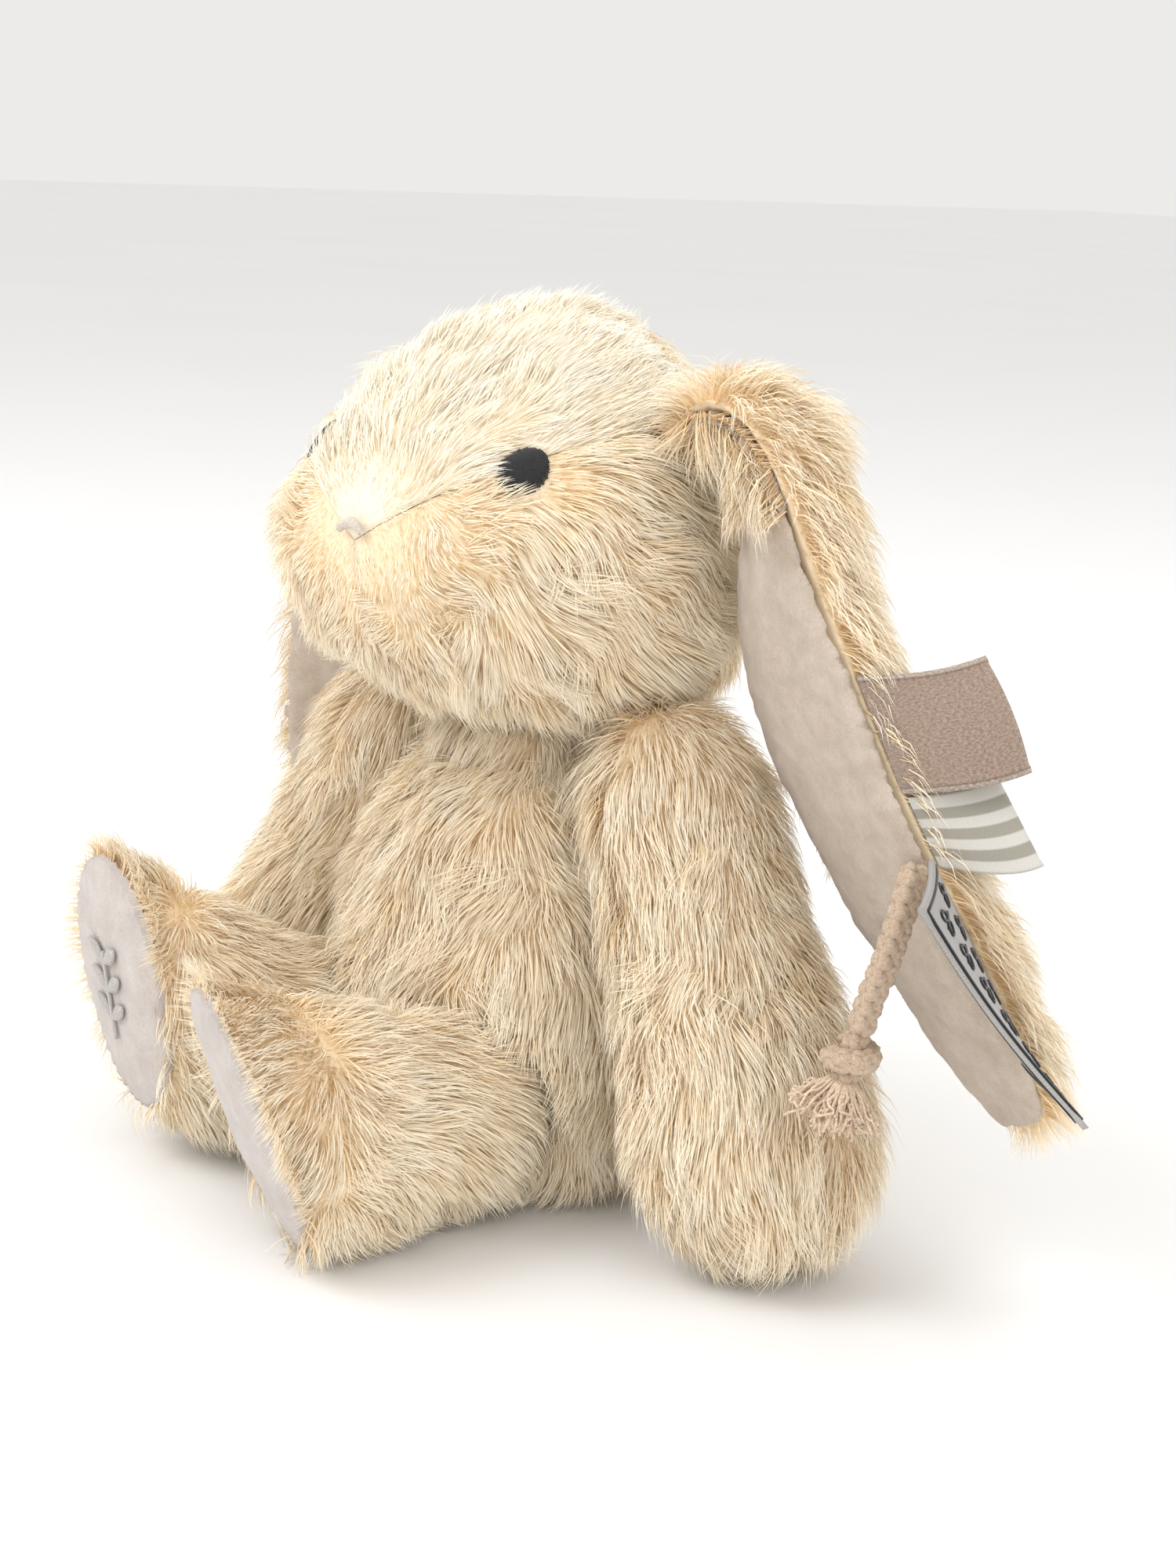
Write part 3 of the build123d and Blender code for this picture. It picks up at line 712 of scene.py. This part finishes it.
for hand in ("left", "right"):
    velour_lining(hand)
    velour_sole(hand)

# ---------------------------------------------------------------- filling and seat
SEAT_NODE = "torso_base"
SEAT_RATIO = 0.5              # shares of the CAD triangles that are kept
FILLING_RATIO = 0.25


def filling(node_name, body):
    """Loose fibre filling: tufted and hollowed everywhere, inside the CAD stuffing."""
    points, normals, faces = copy_simplified("filling_" + node_name, node_name, FILLING_RATIO)
    dent = 0.0009 + 0.0006 * waves(points, 0.012, 12) + 0.0003 * waves(points, 0.004, 13)
    piece = mesh_object("filling_" + node_name, points - normals * dent[:, None], faces, FILLING)
    place(piece, body, "filling", node_name)


for node_name, body in (
    ("torso_stuffing", "torso"), ("tail_stuffing", "torso"), ("head_stuffing", "head"),
    ("arm_left_stuffing", "arm_left"), ("arm_right_stuffing", "arm_right"),
    ("leg_left_stuffing", "leg_left"), ("leg_right_stuffing", "leg_right"),
):
    filling(node_name, body)


def seat_panel():
    """Seat: pile clipped flat under the bunny."""
    points, normals, faces = copy_simplified("seat_skin", SEAT_NODE, SEAT_RATIO)
    points = points + normals * (0.00012 * waves(points, 0.003, 14))[:, None]
    points[:, 2] = np.maximum(points[:, 2], 0.0)
    uvs = np.full((len(points), 2), (0.5, 0.5)) + points[:, :2]
    piece = mesh_object("pile_torso_base", points, faces, PILE["cream_fur"], uvs)
    place(piece, "torso", "cream_fur", SEAT_NODE)


seat_panel()

# ---------------------------------------------------------------- embroidery
FINE_THREAD, LABEL_THREAD, STOUT_THREAD, STEM_THREAD = 0.00021, 0.00032, 0.00042, 0.00055     # radii


def satin_stitch(name, node_name, body, slot, material, threads, centre_of_curve, crown):
    """Oval of satin stitch: parallel threads laid side by side across the patch."""
    centre, long_way, short_way, normal, half_long, half_short = flat_frame(node_name)
    normal = towards(normal, centre - centre_of_curve)
    radius = np.linalg.norm(centre - centre_of_curve)
    parts = []
    for index in range(threads):
        offset = -1 + 2 * (index + 0.5) / threads
        reach = (1 - offset ** 2) ** 0.5 * half_short
        shift = offset * half_long
        path = []
        for share in np.linspace(-1, 1, 13):
            x = share * reach * (1 + 0.04 * sin(index * 2.3))
            rise = crown * (1 - share ** 2) ** 0.5 * (1 - 0.5 * offset ** 2) - 0.0006 * abs(share) ** 8
            drop = (x * x + shift * shift) / (2 * radius)
            path.append(centre + short_way * x + long_way * shift + normal * (rise - drop + 0.0002))
        parts.append(tube(path, half_long / threads * 1.18))
    assembled(name, parts, material, body, slot, node_name)


for hand in ("left", "right"):
    satin_stitch(f"stitch_eye_{hand}", f"eye_{hand}", "head", "black_thread", BLACK_THREAD, threads=24,
                 centre_of_curve=HEAD_CENTRE, crown=0.0012)


def nose_stitches():
    """Nose: a small drooping arc of satin stitch."""
    centre, across, rise, normal, half_wide, half_high = flat_frame("nose")
    normal, rise = towards(normal, NOSE_WAY), towards(rise, (0, 0, 1))
    radius = np.linalg.norm(centre - HEAD_CENTRE)
    threads = 26
    parts = []
    for index in range(threads):
        share = -1 + 2 * (index + 0.5) / threads
        lean = share * radians(50)
        foot = centre + across * half_wide * 0.92 * share \
            + rise * half_high * (0.25 - 0.75 * share ** 2)
        way = rise * cos(lean) + across * sin(lean)
        half = half_high * (0.42 - 0.16 * share ** 2)
        path = []
        for step in np.linspace(-1, 1, 9):
            spot = foot + way * half * step
            fall = np.dot(spot - centre, spot - centre) / (2 * radius)
            path.append(spot + normal * (0.0009 + 0.0011 * (1 - step ** 2) ** 0.5 - fall))
        parts.append(tube(path, FINE_THREAD))
    assembled("stitch_nose", parts, PEARL_THREAD, "head", "pearl_thread", "nose")


nose_stitches()


def leaf(centre, way, across, normal, length, width, threads):
    """Small stitched leaf as (points, faces) parts."""
    parts = []
    for index in range(threads):
        share = (index + 0.5) / threads
        half = width / 2 * sin(pi * share) ** 0.7
        middle = centre + way * length * (share - 0.5)
        path = [middle + across * half * s + normal * 0.0004 * (1 - s * s)
                for s in np.linspace(-1, 1, 7)]
        parts.append(tube(path, length / threads * 0.62, 5))
    return parts


def sole_sprig():
    """Stitched sprig of leaves on the right sole."""
    centre, long_way, _, normal, _, _ = flat_frame("leg_right_sole")
    normal, up = towards(normal, (0, -1, 0)), towards(long_way, (0, 0, 1))
    right = np.cross(up, normal)
    surface = centre + normal * 0.0036
    parts = []
    for height in (-0.008, -0.001, 0.006):
        for lean in (1, -1):
            way = unit(up * cos(radians(55)) + right * lean * sin(radians(55)))
            foot = surface + up * (height + 0.0026) + right * lean * 0.0036
            parts += leaf(foot, way, np.cross(way, normal), normal, length=0.0076, width=0.0034,
                          threads=12)
    stem = [surface + up * s + normal * 0.0002 for s in np.linspace(-0.013, 0.009, 16)]
    parts.append(tube(stem, STEM_THREAD))
    assembled("stitch_sole_sprig", parts, GREY_THREAD, "leg_right", "grey_thread", "sole_motif")


sole_sprig()


def ring_stitches():
    """Two-ply thread that closes the neck, laid round the neck opening."""
    low, high = (np.array(c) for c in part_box("neck_stitches"))
    centre, radius = (low + high) / 2, (high[0] - low[0]) / 2 - 0.0009
    parts, steps = [], 240
    for ply in range(2):
        path = []
        for step in range(steps + 1):
            angle = 2 * pi * step / steps
            twist = 40 * angle + pi * ply
            reach = radius + 0.0004 * cos(twist)
            path.append(centre + (reach * cos(angle), reach * sin(angle), 0.0004 * sin(twist)))
        parts.append(tube(path, STOUT_THREAD))
    assembled("thread_neck_stitches", parts, SEAM_THREAD, "neck", "seam_thread", "neck_stitches")


ring_stitches()

# ---------------------------------------------------------------- ribbons and label


def trim_frame(joint_name, node_name):
    """Origin, way along the seam, way out of the seam and the normal of a trim."""
    joint = next(j for j in frame["joints"] if j["name"] == joint_name)
    origin = np.array(joint["pos_m"], dtype=float)
    along = unit(np.array(joint["axis"], dtype=float))
    out = box_centre(node_name) - origin
    out = unit(out - along * np.dot(out, along))
    return origin, along, out, np.cross(along, out)


def ribbon_strip(name, joint_name, node_name, width, centreline, thickness, material, slot, body, sway):
    """Strip of ribbon, width wide along the seam; its centreline is (out, up) pairs in metres."""
    origin, along, out, normal = trim_frame(joint_name, node_name)
    line = np.array(centreline)
    way = unit(np.gradient(line, axis=0))
    side = np.stack([-way[:, 1], way[:, 0]], axis=1)
    columns = 26
    points, uvs, faces = [], [], []
    lengths = travelled(line)
    for layer in (1, -1):
        for row, (spot, off) in enumerate(zip(line, side)):
            for column in range(columns + 1):
                share = column / columns
                selvedge = 1 + 0.5 * (min(share, 1 - share) < 0.045)
                flat = spot + off * thickness / 2 * layer * selvedge
                bend = sway(share, lengths[row] / lengths[-1])
                points.append(origin + along * ((share - 0.5) * width + bend[0])
                              + out * (flat[0] + bend[1]) + normal * (flat[1] + bend[2]))
                uvs.append((share, lengths[row] / lengths[-1]))
    rows = len(line)
    stride = columns + 1
    under = rows * stride         # from a point of the upper layer to the one below it
    for row in range(rows - 1):
        for column in range(columns):
            here = row * stride + column
            top = (here, here + 1, here + stride + 1, here + stride)
            faces.append(top)
            faces.append(tuple(reversed([i + under for i in top])))
        for column in (0, columns):
            here = row * stride + column
            rim = (here, here + stride, here + stride + under, here + under)
            faces.append(rim if column == 0 else tuple(reversed(rim)))
    for row in (0, rows - 1):
        for column in range(columns):
            here = row * stride + column
            rim = (here, here + 1, here + 1 + under, here + under)
            faces.append(rim if row else tuple(reversed(rim)))
    piece = mesh_object(name, np.array(points), faces, material, np.array(uvs))
    place(piece, body, slot, node_name)


def loop_line(reach, height, steps=34):
    """Centreline of a ribbon folded back on itself, from the seam out and home again."""
    line = []
    for step in range(steps + 1):
        share = step / steps
        angle = pi * (share * 2 - 1) / 2
        out = 0.0012 + reach * cos(angle) ** 0.55
        opening = 0.25 + 0.75 * cos(angle) ** 0.4
        line.append((out, height * np.sign(share - 0.5) * abs(sin(angle)) * opening))
    return line


def velour_sway(share, along):
    """The velour loop sags at its fold and bows a little across its width."""
    out = sin(pi * along)
    return (0.0055 * out, -0.0010 * (2 * share - 1) ** 2 * out, 0.0012 * sin(pi * share) * out)


def striped_sway(share, along):
    """The light striped loop curls: its lower edge swings out and forward."""
    lift = sin(pi * along)
    return (lift * (0.0050 + 0.004 * (share - 0.2)), 0.0, 0.0045 * lift * (share - 0.5) * 2)


ribbon_strip("ribbon_velour_loop", "velour_loop_flap", "velour_loop", 0.025,
             loop_line(0.0255, 0.0016), 0.0011, ROSE_VELOUR, "rose_velour", "velour_loop",
             velour_sway)
ribbon_strip("ribbon_striped_loop", "striped_loop_flap", "striped_loop", 0.015,
             loop_line(0.0180, 0.0022), 0.0006, STRIPED_SATIN, "striped_satin", "striped_loop",
             striped_sway)


def label_sway(share, along):
    """The label dips in the middle, and its lower corner is turned back towards the pile."""
    turned = (share - 0.15) * along ** 1.3
    dip = 0.0016 * sin(pi * share) * along + 0.0020 * along ** 3
    return (0.0060 * turned, 0.0, dip - 0.0110 * turned)


LABEL_WIDTH, LABEL_REACH = 0.048, 0.027
LABEL_START = 0.002           # out of the seam
LABEL_HEM = 0.0012
ribbon_strip("label_woven", "woven_label_flap", "woven_label", LABEL_WIDTH,
             [(LABEL_START + LABEL_REACH * s, 0.0004) for s in np.linspace(0, 1, 16)], 0.0008,
             LABEL_TWILL, "label_twill", "woven_label", label_sway)


def label_stitching():
    """Stitched border and rows of leaf pairs on both faces of the label."""
    origin, along, out, normal = trim_frame("woven_label_flap", "woven_label")

    def on_label(x, y, face):
        share, reach = x / LABEL_WIDTH + 0.5, (y - LABEL_START) / LABEL_REACH
        bend = label_sway(share, reach)
        return origin + along * (x + bend[0]) + out * y + normal * (0.0004 + bend[2] + face * 0.00055)
    parts = []

    def sew(flat, face, radius):
        parts.append(tube([on_label(x, y, face) for x, y in flat], radius, 5))
    half = LABEL_WIDTH / 2 - LABEL_HEM
    low, top = 0.003, LABEL_START + LABEL_REACH - LABEL_HEM
    for face in (1, -1):
        border = [(-half, y) for y in np.linspace(low, top, 10)]
        border += [(x, top) for x in np.linspace(-half, half, 20)]
        border += [(half, y) for y in np.linspace(top, low, 10)]
        sew(border, face, STOUT_THREAD)
        for row in range(2):
            for column in range(6):
                x, y = (column - 2.5) * 0.0073 + (row - 0.5) * 0.002, 0.0095 + row * 0.0098
                sew([(x + 0.0006 * t, y + 0.0030 * t) for t in (-1, -0.3, 0.4, 1)], face, LABEL_THREAD)
                for lean in (1, -1):
                    sew([(x + lean * (0.0013 + 0.0011 * cos(a)),
                          y + 0.0009 + 0.0017 * sin(a) + 0.0006 * cos(a))
                         for a in np.linspace(0, 2 * pi, 15)], face, LABEL_THREAD)
    assembled("stitch_label", parts, BLACK_THREAD, "woven_label", "black_thread")


label_stitching()

# ---------------------------------------------------------------- cord, knot and frayed end
CORD_DIAMETER = 0.0056
FRAY_THREADS = 170
CORD_ROUTE = [
    (0.1226, 0.0125, 0.0985),
    (0.1246, 0.0084, 0.0905),
    (0.1239, 0.0055, 0.0805),
    (0.1224, 0.0030, 0.0720),
    (0.1216, 0.0016, 0.0655),
]


def spline_points(route):
    """Evenly read points of the smooth NURBS line through a route's control points."""
    curve = bpy.data.curves.new("cord_line", "CURVE")
    curve.dimensions = "3D"
    curve.resolution_u = 16
    spline = curve.splines.new("NURBS")
    spline.points.add(len(route) - 1)
    for point, spot in zip(spline.points, route):
        point.co = (*spot, 1)
    spline.order_u = 3
    spline.use_endpoint_u = True
    mesh = final_mesh(new_object("cord_line", curve))
    points = np.array([tuple(vertex.co) for vertex in mesh.vertices])
    bpy.data.meshes.remove(mesh)
    return points


def resample(points, spacing):
    """Points at an even spacing along a line."""
    lengths = travelled(points)
    stops = np.linspace(0, lengths[-1], max(int(lengths[-1] / spacing), 4))
    return np.stack([np.interp(stops, lengths, points[:, k]) for k in range(3)], axis=1)


def braid(points, diameter, turns_per_metre=75.0, strands=8):
    """Round braid along a line: half the strands wind each way and pass over and under."""
    line = resample(points, 0.0005)
    along = unit(np.gradient(line, axis=0))
    side = np.cross(along[0], (0.3, 0.9, 0.1))
    sides = []
    for way in along:
        side = unit(side - way * np.dot(side, way))
        sides.append(side)
    sides = np.array(sides)
    others = np.cross(along, sides)
    travel = travelled(line)
    parts = []
    thick = diameter * 0.235
    for strand in range(strands):
        hand = 1 if strand % 2 else -1
        phase = 2 * pi * (strand // 2) / (strands // 2)
        angle = hand * 2 * pi * turns_per_metre * travel + phase + (pi / strands if hand > 0 else 0)
        weave = np.cos(angle * strands / 2 - hand * pi / 2)
        reach = diameter / 2 - thick * 1.05 + hand * 0.34 * thick * weave
        round_line = np.cos(angle)[:, None] * sides + np.sin(angle)[:, None] * others
        parts.append(tube(line + reach[:, None] * round_line, thick))
    core = tube(line, diameter / 2 - thick * 1.2, 8)
    return joined(parts + [core])


def cord_pieces():
    """The braided cord, its knot and its frayed end."""
    line = spline_points(CORD_ROUTE)
    cord = assembled("cord_braid", [braid(line, CORD_DIAMETER)], CORD_COTTON, "cord", "cotton_cord",
                     "cord")

    low, high = (np.array(c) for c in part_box("cord_knot"))
    centre = (low + high) / 2
    down = unit(line[-1] - line[-3])
    side = unit(np.cross(down, (0.819, -0.574, 0.0)))
    other = np.cross(down, side)
    turn, steps = [], 89
    for step in range(steps + 1):
        share = step / steps
        angle = 2 * pi * 1.35 * share + 0.6
        reach = 0.0040 * sin(pi * min(max(share, 0.04), 0.96)) ** 0.35
        turn.append(centre + down * 0.0060 * (share - 0.5) + side * reach * cos(angle)
                    + other * reach * sin(angle))
    wrap = braid(np.array(turn), CORD_DIAMETER * 0.84)
    core_line = np.array([centre - down * 0.0050, centre, centre + down * 0.0048])
    core = braid(core_line, CORD_DIAMETER * 0.9)
    knot = assembled("cord_knot_wrap", [wrap, core], CORD_COTTON, "cord", "cotton_cord", "cord_knot")

    local = np.random.default_rng(77)
    start = centre + down * 0.0046
    parts = []
    for index in range(FRAY_THREADS):
        spread = local.uniform(0, 1) ** 0.6
        angle = local.uniform(0, 2 * pi)
        outward = side * cos(angle) + other * sin(angle)
        length = local.uniform(0.0080, 0.0125)
        path = []
        kink = local.normal(size=3)
        for share in np.linspace(0, 1, 10):
            fan = outward * (0.0016 + 0.0085 * spread * share ** 0.7)
            curl = 0.0009 * sin(share * 11 + index) * kink * share
            path.append(start + down * length * share * (1 - 0.35 * spread * share) + fan + curl)
        parts.append(tube(path, np.linspace(0.00034, 0.00028, 10), 5))
    fray = assembled("cord_frayed_end", parts, CUT_COTTON, "cord", "cut_cotton", "cord_fray")
    length = float(np.linalg.norm(np.diff(line, axis=0), axis=1).sum())


cord_pieces()

# ---------------------------------------------------------------- floor and light
FLOOR_HALF = 9
SKY_STRENGTH = 0.84


def studio():
    """Pale floor and large soft lights."""
    floor_material, tree, shader = new_material("floor", 0.9, specular=0.1)
    grain = node(tree, "ShaderNodeTexNoise", Scale=40.0, Detail=4.0)
    colour = ramp(tree, grain.outputs["Fac"], [(0.3, (0.93, 0.93, 0.93)), (0.7, (0.95, 0.95, 0.95))])
    tree.links.new(colour, shader.inputs["Base Color"])
    corners = [(x * FLOOR_HALF, y * FLOOR_HALF, 0) for x, y in ((-1, -1), (1, -1), (1, 1), (-1, 1))]
    floor = mesh_object("floor", corners, [(0, 1, 2, 3)], floor_material)
    for name, spot, size, power in (
        ("key", (-0.35, -0.95, 1.15), 0.9, 9.5),
        ("fill", (1.25, -0.25, 0.75), 1.2, 4.6),
        ("top", (0.1, 0.35, 1.4), 1.2, 4.6),
    ):
        data = bpy.data.lights.new(name, "AREA")
        data.size = size
        data.energy = power
        light = new_object(name, data)
        light.location = spot
        light.rotation_euler = (Vector((0, 0, 0.1)) - Vector(spot)).to_track_quat("-Z", "Y").to_euler()
    world = bpy.data.worlds.new("studio")
    bpy.context.scene.world = world
    world.use_nodes = True
    background = world.node_tree.nodes["Background"]
    background.inputs["Color"].default_value = (1.0, 0.99, 0.97, 1)
    background.inputs["Strength"].default_value = SKY_STRENGTH
    bpy.context.scene.view_settings.view_transform = "Standard"


studio()
